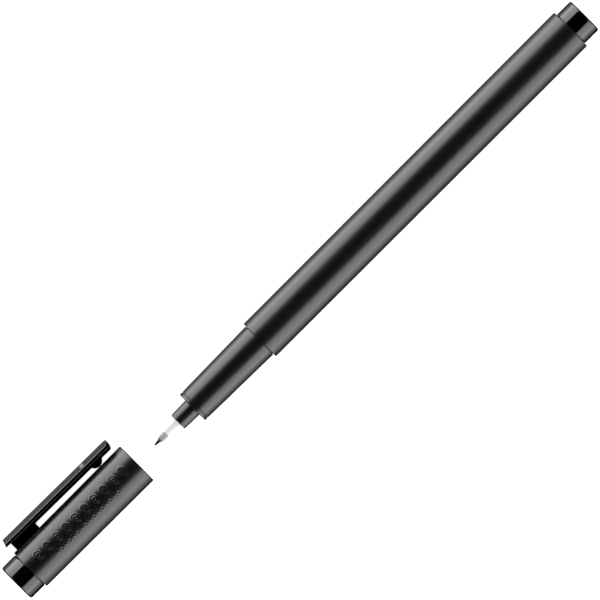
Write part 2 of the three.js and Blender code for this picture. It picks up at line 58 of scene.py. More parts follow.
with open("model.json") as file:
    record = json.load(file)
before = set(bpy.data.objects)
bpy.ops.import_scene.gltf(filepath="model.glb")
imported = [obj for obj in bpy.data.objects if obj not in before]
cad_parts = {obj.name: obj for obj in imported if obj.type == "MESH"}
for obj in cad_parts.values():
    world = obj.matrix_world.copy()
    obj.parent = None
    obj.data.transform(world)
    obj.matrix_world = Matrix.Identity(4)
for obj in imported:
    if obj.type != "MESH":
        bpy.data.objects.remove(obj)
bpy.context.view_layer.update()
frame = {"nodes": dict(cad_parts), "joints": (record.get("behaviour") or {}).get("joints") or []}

MM = 0.001
JOINTS = {joint["name"]: joint for joint in frame["joints"]}

# The pen's own directions: along it, across the clip, and out through the clip.
ALONG = np.array([1.0, 0.0, 0.0])
ACROSS = np.array(JOINTS["clip_flex"]["axis"], float)
ACROSS /= np.linalg.norm(ACROSS)
OUTWARD = np.cross(ALONG, ACROSS)


def extent(node):
    """A node's lowest and highest x, in millimetres."""
    low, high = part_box(node)
    return low.x / MM, high.x / MM


barrel_low, barrel_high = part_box("barrel")
AXIS = np.array([0, (barrel_low.y + barrel_high.y) / 2, (barrel_low.z + barrel_high.z) / 2]) / MM
SHOULDER_X = extent("barrel")[1]
MOUTH_X = extent("cap_body")[0]
FLEX_AT = JOINTS["clip_flex"]["pos_m"][0] / MM - MOUTH_X

# Lengths along the pen, from the shoulder.
BARREL_REAR = extent("barrel")[0] - SHOULDER_X
NOSE_END = extent("front_section")[1] - SHOULDER_X
HOLDER_END = extent("tip_holder")[1] - SHOULDER_X
HOLDER_TAIL = extent("tip_holder")[0] - SHOULDER_X
NIB_TAIL, NIB_END = (x - SHOULDER_X for x in extent("nib_sleeve"))
POINT_END = extent("nib_core")[1] - SHOULDER_X
REAR_END, STUB_END = (x - SHOULDER_X for x in extent("rear_plug"))

# Lengths along the cap, from its mouth.
CAP_LENGTH = extent("cap_body")[1] - MOUTH_X
PLUG_SPIGOT, PLUG_END = (x - MOUTH_X for x in extent("cap_end_plug"))
CUP_MOUTH, CUP_END = (x - MOUTH_X for x in extent("inner_cap"))

# Radii. A pair is for the lower and the higher x.
BARREL_R = (5.345, 5.235)
BORE_R = 4.265
SECTION_R = (4.5, 4.125)
SECTION_HOLLOW_R = BORE_R - 0.7
NOSE_R = (2.31, 2.215)
NOSE_BORE_R = 1.985
HOLDER_R = (1.885, 1.17)
FLANGE_R = 2.68
RIM_R = 1.0
NIB_R = 0.86
CORE_R = 0.36
POINT_R = 0.2
REAR_PLUG_R = 4.565
STUB_R = 2.6
STUB_BORE_R = 1.9
CAP_R = (5.45, 5.31)
CAP_PLUG_R = 4.78
CUP_R = 3.185
CHAMBER_R = 2.18
END_BORE_R = 4.55

# Lengths and places along the pen, from the shoulder. The groove is a length and a depth.
GAP = 0.1
SECTION_TAIL = -8.0
SECTION_LENGTH = 21.66
NOSE_FLOOR = 12.56
LIP = 0.78
GROOVE = (0.3, 0.17)
FLANGE = 0.8
RIM = 0.35
NIB_CONE = 0.95
REAR_SPIGOT = 7.2

# Places along the cap, from its mouth: the step in its bore, the inner cup's sealing ring, and the
# finely divided patch for the pattern, which also has a reach across the cap.
BORE_STEP = (22.46, 22.86)
SEAL_RING = 24.7
PATTERN_X = (1.9, 32.2)
PATTERN_ACROSS = (-2.5, 2.6)

# The pattern's rows: the first cell's x, a cell's length, how many, how far across the cap, and the
# lean.
LARGE_ROW = (2.0, 3.0, 10, 1.1, 0.2)
SMALL_ROW = (6.8, 1.3, 16, -1.72, 0.35)

# The clip: heights above the axis, and half-widths. The tip is a length and a half-width, the chin
# a length and a height, and the nub a place and a radius.
CLIP_ENDS = (1.34, 33.99)
CLIP_HEIGHTS = {"rib": 6.7, "under": 7.35, "edge": 8.15, "top": 9.24}
CLIP_HALF = {"rib": 1.4, "side": 2.6, "flat": 0.25}
CLIP_DROP = 0.3
CLIP_SLANT = 0.5
SLANT_START = 28.0
CLIP_TIP = (1.5, 0.5)
CLIP_CHIN = (0.85, 1.6)
CLIP_BROW = 0.35
FOOT = (25.99, 33.17)
NUB = (6.43, 1.75)

# The gate mark on the clip: its middle, half its length, how much that shortens down the roof, its
# depth, and the finely divided stretch that holds it.
GATE = {"x": 9.32, "half": 0.46, "taper": 0.3, "depth": 0.9, "stretch": (8.3, 10.4)}

# The light's angles round the pen from the camera's direction, in degrees: where the soft boxes
# start and stop, where they grow brighter, and where the wall fades out.
BOXES_START = (37.5, 43.5)
BOXES_STOP = (91.5, 97.5)
BOXES_RISE = (44, 92)
WALL_FADE = (92, 138)


# ------------------------------------------------------------------ what a user can change


def panel_colour(name, description, default):
    """A colour for the panel."""
    return FloatVectorProperty(
        name=name, description=description, subtype="COLOR", default=default
    )


class PenSizes(bpy.types.PropertyGroup):
    """Sizes of the fine shape that the CAD frame leaves open."""

    relief_height: FloatProperty(
        name="Relief height",
        description="How far the pattern stands out of the cap",
        default=0.00006,
        unit="LENGTH",
        precision=5,
    )
    crown_round: FloatProperty(
        name="Crown rounding",
        description="Radius of the clip's long edges",
        default=0.00036,
        unit="LENGTH",
        precision=5,
    )
    sides: IntProperty(
        name="Sides",
        description="Facets around a large turned piece",
        default=192,
        min=48,
    )


class PenColours(bpy.types.PropertyGroup):
    """Base colours of the finishes."""

    anthracite: panel_colour(
        "Anthracite", "Satin plastic of the barrel, section and cap", (0.004, 0.0039, 0.0043)
    )
    black: panel_colour(
        "Gloss black", "Polished plastic of the plugs and the clip", (0.0015, 0.0015, 0.0017)
    )
    white: panel_colour("White", "Tip holder", (0.97, 0.97, 0.97))
    nib: panel_colour("Nib", "Ground translucent nib", (0.45, 0.45, 0.44))
    ink: panel_colour("Ink", "Inked core, writing point and fibre", (0.003, 0.003, 0.0035))
    liner: panel_colour("Liner", "Soft inner cap and wrapping film", (0.7, 0.69, 0.65))


class PenStudio(bpy.types.PropertyGroup):
    """Table, light and camera."""

    floor_colour: panel_colour("Floor", "Colour of the table", (0.6, 0.6, 0.6))
    floor_glow: FloatProperty(
        name="Floor glow",
        description="Light that the lit-through table gives by itself",
        default=1.0,
    )
    soft_boxes: FloatProperty(
        name="Soft boxes",
        description="Brightness of the two long lights beside the camera",
        default=4.3,
    )
    fill: FloatProperty(
        name="Fill",
        description="Brightness of the wall below and behind the two long lights",
        default=1.8,
    )
    lens: FloatProperty(
        name="Lens",
        description="Focal length in millimetres",
        default=1200.0,
        min=20.0,
    )
    field: FloatProperty(
        name="Field",
        description="Width of the view at the pen",
        default=0.1364,
        unit="LENGTH",
    )
    aim: FloatProperty(
        name="Aim",
        description="Distance behind the shoulder that the camera looks at",
        default=0.01295,
        unit="LENGTH",
    )


# ------------------------------------------------------------------ shader expressions


class Sock:
    """A node socket that Python's arithmetic adds Math nodes to."""

    def __init__(self, graph, socket):
        self.graph, self.socket = graph, socket

    def _math(self, operation, *values):
        return self.graph.node("ShaderNodeMath", {"operation": operation}, dict(enumerate(values)))

    def __add__(self, other):
        return self._math("ADD", self, other)

    def __sub__(self, other):
        return self._math("SUBTRACT", self, other)

    def __rsub__(self, other):
        return self._math("SUBTRACT", other, self)

    def __mul__(self, other):
        return self._math("MULTIPLY", self, other)

    def __abs__(self):
        return self._math("ABSOLUTE", self)

    def step(self, low, high):
        """0 below low, 1 above high, smooth between."""
        return self.graph.node(
            "ShaderNodeMapRange",
            {"interpolation_type": "SMOOTHSTEP"},
            {"Value": self, "From Min": low, "From Max": high},
        )

    __radd__ = __add__


class Graph:
    """A node tree that node() adds to."""

    def __init__(self, tree):
        self.tree = tree

    def node(self, kind, settings=None, inputs=None, output=0):
        """Adds a node of a type, applies its settings, then sets or links its inputs. Gives one
        output."""
        made = self.tree.nodes.new(kind)
        for key, value in (settings or {}).items():
            setattr(made, key, value)
        for key, value in (inputs or {}).items():
            self.feed(made.inputs[key], value)
        return Sock(self, made.outputs[output])

    def feed(self, socket, value):
        if isinstance(value, Sock):
            self.tree.links.new(value.socket, socket)
        else:
            socket.default_value = value

    def dot(self, vector, direction):
        """How far a vector socket reaches along a direction."""
        return self.node(
            "ShaderNodeVectorMath",
            {"operation": "DOT_PRODUCT"},
            {0: vector, 1: tuple(direction)},
            output="Value",
        )


class Finish(Graph):
    """A material whose surface is one Principled BSDF."""

    def __init__(self, name, **values):
        self.material = bpy.data.materials.new(name)
        self.material.use_nodes = True
        super().__init__(self.material.node_tree)
        self.surface = self.tree.nodes["Principled BSDF"]
        self.set(**values)

    def set(self, **values):
        for key, value in values.items():
            self.feed(self.surface.inputs[key.replace("_", " ")], value)

    def place(self, scale=(1, 1, 1)):
        """Object coordinates, scaled along the pen's axes."""
        coordinates = self.node("ShaderNodeTexCoord", output="Object")
        return self.node("ShaderNodeMapping", {}, {"Vector": coordinates, "Scale": scale})

    def noise(self, vector, scale, detail=2.0, rough=0.5):
        return self.node(
            "ShaderNodeTexNoise",
            {},
            {"Vector": vector, "Scale": scale, "Detail": detail, "Roughness": rough},
        )

    def blend(self, mask, a, b):
        """Colour a where the mask is 0 and b where it is 1."""
        return self.node("ShaderNodeMix", {"data_type": "RGBA"}, {0: mask, 6: a, 7: b}, output=2)

    def bump(self, height, distance, strength):
        """Tilts the normal by a height from 0 to 1 that stands for a distance in metres."""
        self.set(
            Normal=self.node(
                "ShaderNodeBump", {}, {"Height": height, "Distance": distance, "Strength": strength}
            )
        )


def tinted(colour, factor=1.0):
    """A colour made darker or lighter by a factor."""
    return (*(min(1.0, c * factor) for c in colour), 1.0)


# ------------------------------------------------------------------ finishes


def satin_anthracite():
    """Moulded plastic with a fine spark-eroded grain, a slow change of gloss and faint handling
    marks."""
    f = Finish("satin_anthracite", IOR=1.6)
    colour = bpy.context.scene.pen_colours.anthracite
    cloud = f.noise(f.place((0.5, 1, 1)), 160.0, 3.0)
    smear = f.noise(f.place((0.12, 1, 1)), 900.0)
    grain = f.noise(f.place(), 9000.0)
    f.set(
        Base_Color=f.blend(cloud, tinted(colour, 0.82), tinted(colour, 1.2)),
        Roughness=0.3 + (cloud - 0.5) * 0.05 + (smear - 0.5) * 0.035,
    )
    f.bump(grain, 0.000003, 0.5)
    return f.material


def gloss_black():
    """Polished plastic with a little flow ripple and a dust-fine change of gloss."""
    f = Finish("gloss_black", IOR=1.6)
    colour = bpy.context.scene.pen_colours.black
    ripple = f.noise(f.place((0.3, 1, 1)), 220.0)
    haze = f.noise(f.place(), 1400.0, 3.0)
    f.set(
        Base_Color=f.blend(haze, tinted(colour, 0.9), tinted(colour, 1.15)),
        Roughness=0.06 + (haze - 0.5) * 0.04,
    )
    f.bump(ripple, 0.00001, 0.15)
    return f.material


def white_plastic():
    """White plastic with soft light inside it and a very fine grain."""
    f = Finish(
        "white_plastic",
        IOR=1.49,
        Subsurface_Weight=0.2,
        Subsurface_Scale=0.0006,
        Subsurface_Radius=(1, 1, 1),
    )
    colour = bpy.context.scene.pen_colours.white
    cloud = f.noise(f.place(), 500.0)
    f.set(
        Base_Color=f.blend(cloud, tinted(colour, 0.97), tinted(colour, 1.02)),
        Roughness=0.34 + (cloud - 0.5) * 0.06,
    )
    f.bump(f.noise(f.place(), 7000.0, 1.0), 0.000002, 0.3)
    return f.material


def translucent_nib():
    """Ground plastic that lets its inked core show: darker towards the front, with a painted shadow
    ring at its root where it meets the holder, and fine grinding rings."""
    f = Finish(
        "translucent_nib",
        IOR=1.48,
        Subsurface_Weight=0.2,
        Subsurface_Scale=0.0004,
        Subsurface_Radius=(1, 1, 1),
    )
    colour = bpy.context.scene.pen_colours.nib
    front, root = (SHOULDER_X + NIB_END) * MM, (SHOULDER_X + HOLDER_END) * MM
    x = f.dot(f.place(), ALONG)
    core = f.noise(f.place((0.3, 1, 1)), 1800.0)
    stain = x.step(front - 0.8 * MM, front - 0.15 * MM) * 0.9
    shade = x.step(front - 2.6 * MM, front - 0.7 * MM) * 0.2
    # Painted shadow: a dark ring on the nib just in front of the holder's rim, where shade would
    # fall.
    root_shadow_ring = (1.0 - x.step(root + 0.1 * MM, root + 0.25 * MM)) * 0.6
    dark = stain + shade + root_shadow_ring + (core - 0.5) * 0.1
    rings = f.node(
        "ShaderNodeTexWave",
        {"wave_type": "BANDS", "bands_direction": "X"},
        {"Vector": f.place(), "Scale": 9000.0, "Distortion": 1.5},
        output=1,
    )
    f.set(
        Base_Color=f.blend(dark, tinted(colour), tinted(colour, 0.05)),
        Roughness=0.34 + rings * 0.05,
    )
    f.bump(rings, 0.000003, 0.4)
    return f.material


def black_ink():
    """Ink-soaked fibre: nearly black, slightly uneven."""
    f = Finish("black_ink", IOR=1.2)
    colour = bpy.context.scene.pen_colours.ink
    fibre = f.noise(f.place((0.2, 1, 1)), 5000.0, 3.0)
    f.set(
        Base_Color=f.blend(fibre, tinted(colour, 0.7), tinted(colour, 1.6)),
        Roughness=0.5 + (fibre - 0.5) * 0.2,
    )
    f.bump(fibre, 0.000006, 0.5)
    return f.material


def ink_fibre():
    """Bonded fibre full of ink: strands along the pen."""
    f = Finish("ink_fibre", Sheen_Weight=0.2)
    colour = bpy.context.scene.pen_colours.ink
    strand = f.noise(f.place((0.03, 1, 1)), 6000.0, 3.0)
    f.set(
        Base_Color=f.blend(strand, tinted(colour, 0.8), tinted(colour, 4.0)),
        Roughness=0.85 + (strand - 0.5) * 0.2,
    )
    f.bump(strand, 0.00002, 0.6)
    return f.material


def film():
    """Thin wrapping film, faintly creased round the fibre."""
    f = Finish("film", IOR=1.5)
    colour = bpy.context.scene.pen_colours.liner
    crease = f.noise(f.place((0.15, 1, 1)), 900.0)
    f.set(
        Base_Color=f.blend(crease, tinted(colour, 0.9), tinted(colour, 1.1)),
        Roughness=0.2 + crease * 0.15,
    )
    f.bump(crease, 0.00002, 0.3)
    return f.material


def soft_natural():
    """Waxy natural plastic of the inner cap."""
    f = Finish("soft_natural", Subsurface_Weight=0.2, Subsurface_Scale=0.001)
    colour = bpy.context.scene.pen_colours.liner
    cloud = f.noise(f.place(), 700.0)
    f.set(
        Base_Color=f.blend(cloud, tinted(colour, 0.93), tinted(colour, 1.04)),
        Roughness=0.45 + (cloud - 0.5) * 0.1,
    )
    f.bump(cloud, 0.00001, 0.2)
    return f.material


# ------------------------------------------------------------------ surfaces


def to_row(x, y, z, origin_x):
    """Points in the pen's own axes, in millimetres, as row-frame metres: the axis point at
    origin_x, plus x along the pen, y across the clip and z out through the clip."""
    x, y, z = np.broadcast_arrays(x, y, z)
    local = (x + origin_x)[..., None] * ALONG + y[..., None] * ACROSS + z[..., None] * OUTWARD
    return (local + AXIS) * MM


def grid_faces(rows, columns, close_rows=False):
    """Quads of a grid of points in row-major order, closed round its columns, and round its rows
    if asked."""
    i = np.arange(rows if close_rows else rows - 1)[:, None]
    j = np.arange(columns)[None, :]
    below, beside = (i + 1) % rows, (j + 1) % columns
    corners = [i * columns + j, i * columns + beside, below * columns + beside, below * columns + j]
    return np.stack(np.broadcast_arrays(*corners), -1).reshape(-1, 4).tolist()


def mesh_object(name, points, faces, finish, body, sharp=0.6):
    """A mesh object from an array of points and lists of face indices. Its doubles are merged
    and its normals face out. Edges that turn by more than sharp, in radians, stay sharp. It
    rides on a body, unless the body is None."""
    mesh = bpy.data.meshes.new(name)
    mesh.from_pydata(points.reshape(-1, 3).tolist(), [], faces)
    work = bmesh.new()
    work.from_mesh(mesh)
    bmesh.ops.remove_doubles(work, verts=work.verts, dist=1e-8)
    bmesh.ops.recalc_face_normals(work, faces=work.faces)
    work.to_mesh(mesh)
    work.free()
    mesh.shade_smooth()
    mesh.set_sharp_from_angle(angle=sharp)
    mesh.materials.append(finish)
    made = bpy.data.objects.new(name, mesh)
    bpy.context.scene.collection.objects.link(made)
    if body:
        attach(made, body)
    return made


def arc(x, r, radius, start, end, steps=6):
    """An arc of a profile round (x, r): (x + radius cos a, r + radius sin a) for a from start to
    end, in degrees."""
    a = np.radians(np.linspace(start, end, steps + 1))
    return np.stack([x + radius * np.cos(a), r + radius * np.sin(a)], 1)


def corner(x, r, radius, start, end, steps=6):
    """The arc that rounds a profile's corner at (x, r). Its centre lies a radius back from the
    corner in x and in r, away from the arc's middle angle."""
    middle = np.radians((start + end) / 2)
    back_x, back_r = radius * np.sign(np.cos(middle)), radius * np.sign(np.sin(middle))
    return arc(x - back_x, r - back_r, radius, start, end, steps)


def profile(*parts):
    """Joins points and arcs into one profile, an array of (x, radius)."""
    return np.concatenate([np.asarray(part, float).reshape(-1, 2) for part in parts])


def held(points, closed, near=0.07):
    """A profile with one more point close to both ends of each long side, a + t (b - a) with t =
    near / length and 1 - near / length, so that smooth shading keeps the side straight."""
    start = points if closed else points[:-1]
    side = np.roll(points, -1, axis=0)[: len(start)] - start
    t = near / np.maximum(np.linalg.norm(side, axis=1), 1e-9)
    t = np.where(t < 0.3, t, np.nan)
    shares = np.stack([0 * t, t, 1 - t], 1)
    shares[:, 0] = 0
    spread = start[:, None, :] + shares[..., None] * side[:, None, :]
    spread = spread.reshape(-1, 2)
    spread = spread[~np.isnan(spread[:, 0])]
    return spread if closed else np.concatenate([spread, points[-1:]])


def turned(name, points, origin_x, finish, body, angles=None, lift=None):
    """A closed turned piece. Each profile point (x, r) goes round the axis as (x, R cos t, R sin
    t), with t = 0 facing across the clip and R = r + lift(x, r, t). A profile that starts and
    ends on the axis is closed there, and any other closes on itself."""
    points = np.asarray(points, float)
    capped = points[0, 1] == 0
    points = held(points, not capped)
    if angles is None:
        angles = np.linspace(0, 2 * np.pi, bpy.context.scene.pen_sizes.sides, endpoint=False)
    x, r = points[:, :1], points[:, 1:]
    radius = r + (lift(x, r, angles) if lift else 0)
    surface = to_row(x, radius * np.cos(angles), radius * np.sin(angles), origin_x)
    faces = grid_faces(len(points), len(angles), not capped)
    return mesh_object(name, surface, faces, finish, body)


def rounded(corners, radius, steps=4):
    """Closed outlines with rounded corners, for an array (..., corner, 2). Each corner C becomes
    points of (1-t)^2 A + 2t(1-t) C + t^2 B for t from 0 to 1, where A and B lie a radius away
    along its two sides, with one more point a little beyond A and B that keeps the sides flat."""
    ahead = np.roll(corners, -1, axis=-2) - corners
    behind = np.roll(corners, 1, axis=-2) - corners
    ahead_length = np.maximum(np.linalg.norm(ahead, axis=-1, keepdims=True), 1e-9)
    behind_length = np.maximum(np.linalg.norm(behind, axis=-1, keepdims=True), 1e-9)
    most, beyond = 0.45, 1.1
    reach = np.minimum(radius, most * np.minimum(ahead_length, behind_length))
    into, out = behind / behind_length * reach, ahead / ahead_length * reach
    t = np.linspace(0, 1, steps + 1)[:, None]
    bend = (1 - t) ** 2 * into[..., None, :] + t**2 * out[..., None, :]
    ends = beyond * into[..., None, :], beyond * out[..., None, :]
    bend = np.concatenate([ends[0], bend, ends[1]], axis=-2)
    return (corners[..., None, :] + bend).reshape(*corners.shape[:-2], -1, 2)


def section_radius(x):
    """Radius of the section's tapered outside, x from the shoulder."""
    return SECTION_R[0] + (SECTION_R[1] - SECTION_R[0]) * x / SECTION_LENGTH


def cap_radius(x):
    """Radius of the cap's tapered outside, x from its mouth."""
    return CAP_R[0] + (CAP_R[1] - CAP_R[0]) * x / CAP_LENGTH


def drop(x, z):
    """The clip's outline turned about its top corner at the root, so that the free end lies
    lower: (dx cos a - dz sin a, dx sin a + dz cos a), where dx and dz are the distances from
    that corner."""
    angle = np.arctan(CLIP_DROP / (CLIP_ENDS[1] - CLIP_ENDS[0]))
    dx, dz = x - CLIP_ENDS[1], z - CLIP_HEIGHTS["top"]
    return (
        CLIP_ENDS[1] + dx * np.cos(angle) - dz * np.sin(angle),
        CLIP_HEIGHTS["top"] + dx * np.sin(angle) + dz * np.cos(angle),
    )


# ------------------------------------------------------------------ pieces of the pen


class PEN_OT_barrel(bpy.types.Operator):
    """Barrel: a satin tube that swells slightly to the rear, with a crisp shoulder in front"""

    bl_idname = "pen.barrel"
    bl_label = "Barrel"

    def execute(self, context):
        rear, front = BARREL_R
        outline = profile(
            [(BARREL_REAR, BORE_R)],
            corner(BARREL_REAR, rear, 0.3, 180, 90),
            corner(0, front, 0.24, 90, 0),
            [(0, BORE_R)],
        )
        tube = turned(
            "barrel_tube", outline, SHOULDER_X, finishes["satin"], "pen"
        )
        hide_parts("barrel")
        return {"FINISHED"}


class PEN_OT_section(bpy.types.Operator):
    """Finger section: a tapered satin sleeve with a groove and a snap lip, a flat face and the
    nose"""

    bl_idname = "pen.section"
    bl_label = "Finger section"

    def execute(self, context):
        shank, chamfer = BORE_R - GAP, 0.15
        lip = SECTION_LENGTH - LIP
        groove, depth = GROOVE
        lip_r, nose_root, nose_front = section_radius(lip), *NOSE_R
        outline = profile(
            [(SECTION_TAIL, SECTION_HOLLOW_R), (SECTION_TAIL, shank - chamfer)],
            [(SECTION_TAIL + chamfer, shank), (GAP, shank)],
            corner(GAP, SECTION_R[0], 0.05, 180, 90, 3),
            corner(lip - groove, section_radius(lip - groove), 0.05, 90, 20, 3),
            [(lip - groove + 0.07, lip_r - depth), (lip - 0.07, lip_r - depth)],
            corner(lip, lip_r, 0.07, 170, 90, 3),
            corner(SECTION_LENGTH, SECTION_R[1], 0.16, 90, 0),
            corner(SECTION_LENGTH, nose_root, 0.12, 180, 270, 4),
            corner(NOSE_END, nose_front, 0.12, 90, 0, 4),
            [(NOSE_END, NOSE_BORE_R), (NOSE_FLOOR, NOSE_BORE_R), (NOSE_FLOOR, SECTION_HOLLOW_R)],
        )
        sleeve = turned(
            "finger_section", outline, SHOULDER_X, finishes["satin"], "pen"
        )
        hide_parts("front_section")
        return {"FINISHED"}


class PEN_OT_tip(bpy.types.Operator):
    """Tip: the white holder's cone and rim, the ground nib and the inked writing point"""

    bl_idname = "pen.tip"
    bl_label = "Tip"

    def execute(self, context):
        wide, narrow = HOLDER_R
        rim_start = HOLDER_END - RIM
        flange, shank = HOLDER_TAIL + FLANGE, NOSE_BORE_R - GAP / 2
        holder = profile(
            [(HOLDER_TAIL, NIB_R + GAP / 2), (HOLDER_TAIL, FLANGE_R)],
            [(flange, FLANGE_R), (flange, shank)],
            [(NOSE_END - 0.1, shank), (NOSE_END + 0.1, wide)],
            arc(rim_start - 0.07, narrow - 0.05, 0.07, 75, 0, 4),
            [(rim_start, RIM_R + 0.04), (rim_start + 0.04, RIM_R)],
            corner(HOLDER_END, RIM_R, 0.05, 90, 0, 3),
            [(HOLDER_END, NIB_R + GAP / 2)],
        )
        made = turned(
            "tip_cone", holder, SHOULDER_X, finishes["white"], "pen"
        )
        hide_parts("tip_holder")

        cone = NIB_END - NIB_CONE
        sleeve = profile(
            [(NIB_TAIL, CORE_R + GAP / 2), (NIB_TAIL, NIB_R)],
            [(cone - 0.12, NIB_R), (cone, NIB_R - 0.015), (cone + 0.1, NIB_R - 0.055)],
            corner(NIB_END, CORE_R + 0.08, 0.04, 60, 0, 3),
            [(NIB_END, CORE_R + 0.01)],
        )
        made = turned(
            "nib_tube", sleeve, SHOULDER_X, finishes["nib"], "pen"
        )
        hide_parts("nib_sleeve")

        core = profile(
            [(NIB_TAIL, 0), (NIB_TAIL, CORE_R), (NIB_END, CORE_R)],
            [(NIB_END + 0.4, CORE_R - 0.015), (NIB_END + 0.7, CORE_R - 0.05)],
            [(NIB_END + 0.95, CORE_R - 0.1)],
            arc(POINT_END - POINT_R, 0, POINT_R, 70, 0, 8)[:-1],
            [(POINT_END, 0)],
        )
        made = turned("ink_point", core, SHOULDER_X, finishes["ink"], "pen")
        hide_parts("nib_core")
        return {"FINISHED"}


class PEN_OT_rear_plug(bpy.types.Operator):
    """Rear plug: a polished head with a softly rounded end, and its hidden spigot"""

    bl_idname = "pen.rear_plug"
    bl_label = "Rear plug"

    def execute(self, context):
        face = BARREL_REAR - GAP
        spigot = BARREL_REAR + REAR_SPIGOT
        shank, chamfer = BORE_R - GAP, 0.2
        outline = profile(
            [(REAR_END, 0)],
            corner(REAR_END, REAR_PLUG_R, 0.5, 180, 90, 8),
            corner(face, REAR_PLUG_R, 0.12, 90, 0, 4),
            [(face, shank), (spigot - chamfer, shank), (spigot, shank - chamfer)],
            [(spigot, STUB_R), (STUB_END, STUB_R)],
            [(STUB_END, STUB_BORE_R), (face, STUB_BORE_R), (face, 0)],
        )
        plug = turned("rear_cap", outline, SHOULDER_X, finishes["gloss"], "pen")
        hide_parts("rear_plug")
        return {"FINISHED"}


class PEN_OT_ink_store(bpy.types.Operator):
    """Ink store: the finishes of the hidden fibre and its wrapping film"""

    bl_idname = "pen.ink_store"
    bl_label = "Ink store"

    def execute(self, context):
        for node, made in (("reservoir", ink_fibre()), ("reservoir_film", film())):
            data = frame["nodes"][node].data
            data.materials.clear()
            data.materials.append(made)
        return {"FINISHED"}


# ------------------------------------------------------------------ pieces of the cap


def band(distance, half, soft):
    """1 within half of zero and 0 beyond half + soft, as a smooth step of the distance's size."""
    t = np.clip((half + soft - np.abs(distance)) / soft, 0, 1)
    return t * t * (3 - 2 * t)


def cells(x, w, row):
    """A row of the pattern as cells along the cap. Gives 1 in every other cell, 1 within the
    row's ends, and the place in the cell: a along the cap from the cell's middle, less b times
    the lean, and b across it."""
    first, pitch, count, across, lean = row
    number, along = np.divmod(x - first, pitch)
    half = count * pitch / 2
    b = w - across
    a = along - pitch / 2 - lean * b
    return number % 2, band(x - first - half, half - 0.05, 0.05), a, b


def ornament(x, w):
    """The raised pattern on the cap, from 0 to 1, at x along it and w across it in millimetres.
    A row of slanted oval rings, |hypot(a, 0.8 b) - 0.92| < 0.09, every other one with a small
    oval of radius 0.36 inside it. Below it a row that takes turns between small rings, |hypot(a,
    b) - 0.42| < 0.06, and dots, hypot(a, b) < 0.2. The edges are smooth steps 0.1 wide, or 0.12
    round a dot."""
    other, within, a, b = cells(x, w, LARGE_ROW)
    distance = np.hypot(a, 0.8 * b)
    outer, inner = band(distance - 0.92, 0.09, 0.1), band(distance - 0.36, 0.08, 0.1) * other
    large = np.maximum(outer, inner) * within

    other, within, a, b = cells(x, w, SMALL_ROW)
    distance = np.hypot(a, b)
    rings, dots = band(distance - 0.42, 0.06, 0.1), band(distance, 0.2, 0.12)
    return np.maximum(large, np.where(other, dots, rings) * within)


class PEN_OT_cap_tube(bpy.types.Operator):
    """Cap tube: satin outside with a low moulded pattern, tapered bore with its snap bead"""

    bl_idname = "pen.cap_tube"
    bl_label = "Cap tube"

    def execute(self, context):
        sizes = context.scene.pen_sizes
        height = sizes.relief_height / MM
        mouth, end = CAP_R
        pattern_x = np.arange(*PATTERN_X, 0.09)
        bore = section_radius(0) + GAP, section_radius(SECTION_LENGTH) + GAP
        bead, bead_half = SECTION_LENGTH - LIP - 0.25, 0.4
        outline = profile(
            corner(0, mouth, 0.18, 180, 90),
            np.stack([pattern_x, cap_radius(pattern_x)], 1),
            corner(CAP_LENGTH, end, 0.2, 90, 0),
            [(CAP_LENGTH, END_BORE_R), (BORE_STEP[1], END_BORE_R), (BORE_STEP[0], bore[1])],
            [(bead + bead_half, bore[1]), (bead, SECTION_R[1] + 0.06)],
            [(bead - bead_half, bore[1] + 0.02), (0.3, bore[0] - 0.01), (0, bore[0] + 0.15)],
        )
        fine = np.arange(*PATTERN_ACROSS, 0.085) / mouth
        coarse = np.linspace(fine[-1], fine[0] + 2 * np.pi, 120)[1:-1]
        angles = np.concatenate([fine, coarse])

        def relief(x, r, t):
            """The pattern's height, on the outside only."""
            side = np.where(t > np.pi, t - 2 * np.pi, t) * mouth
            return np.where(r > cap_radius(x) - 0.02, height * ornament(x, side), 0)

        satin = finishes["satin"]
        tube = turned(
            "cap_tube", outline, MOUTH_X, satin, "cap", angles, relief
        )
        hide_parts("cap_body")
        return {"FINISHED"}


class PEN_OT_cap_closure(bpy.types.Operator):
    """Cap closure: the polished end plug and the soft inner cup that it holds"""

    bl_idname = "pen.cap_closure"
    bl_label = "Cap closure"

    def execute(self, context):
        face = CAP_LENGTH + GAP
        outline = profile(
            [(PLUG_END, 0)],
            corner(PLUG_END, CAP_PLUG_R, 0.5, 0, 90, 8),
            corner(face, CAP_PLUG_R, 0.2, 90, 180, 4),
            [(face, END_BORE_R - GAP), (PLUG_SPIGOT, END_BORE_R - GAP)],
            [(PLUG_SPIGOT, CUP_R + GAP), (CUP_END + GAP, CUP_R + GAP), (CUP_END + GAP, 0)],
        )
        plug = turned("cap_plug", outline, MOUTH_X, finishes["gloss"], "cap")
        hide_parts("cap_end_plug")

        bore, chamfer = NOSE_R[0] + GAP, 0.35
        chamber = NOSE_END + 0.2, CUP_END - 0.9
        cup = profile(
            [(CUP_END, 0), (CUP_END, CUP_R - 0.2), (CUP_END - 0.2, CUP_R)],
            corner(CUP_MOUTH, CUP_R, 0.15, 90, 180, 4),
            [(CUP_MOUTH, bore + chamfer), (CUP_MOUTH + chamfer, bore), (SEAL_RING - 0.35, bore)],
            [(SEAL_RING, NOSE_R[1] + 0.08), (SEAL_RING + 0.35, bore), (chamber[0], bore)],
            [(chamber[0], CHAMBER_R), (chamber[1], CHAMBER_R), (chamber[1], 0)],
        )
        made = turned("inner_cup", cup, MOUTH_X, finishes["soft"], "cap")
        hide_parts("inner_cap")
        return {"FINISHED"}


def rounding(x, start, length):
    """A quarter ellipse's share, sqrt(1 - p^2): 0 at the start, 1 a length beyond it, with p = 1
    - (x - start) / length between them."""
    return np.sqrt(1 - np.clip((start + length - x) / length, 0, 1) ** 2)


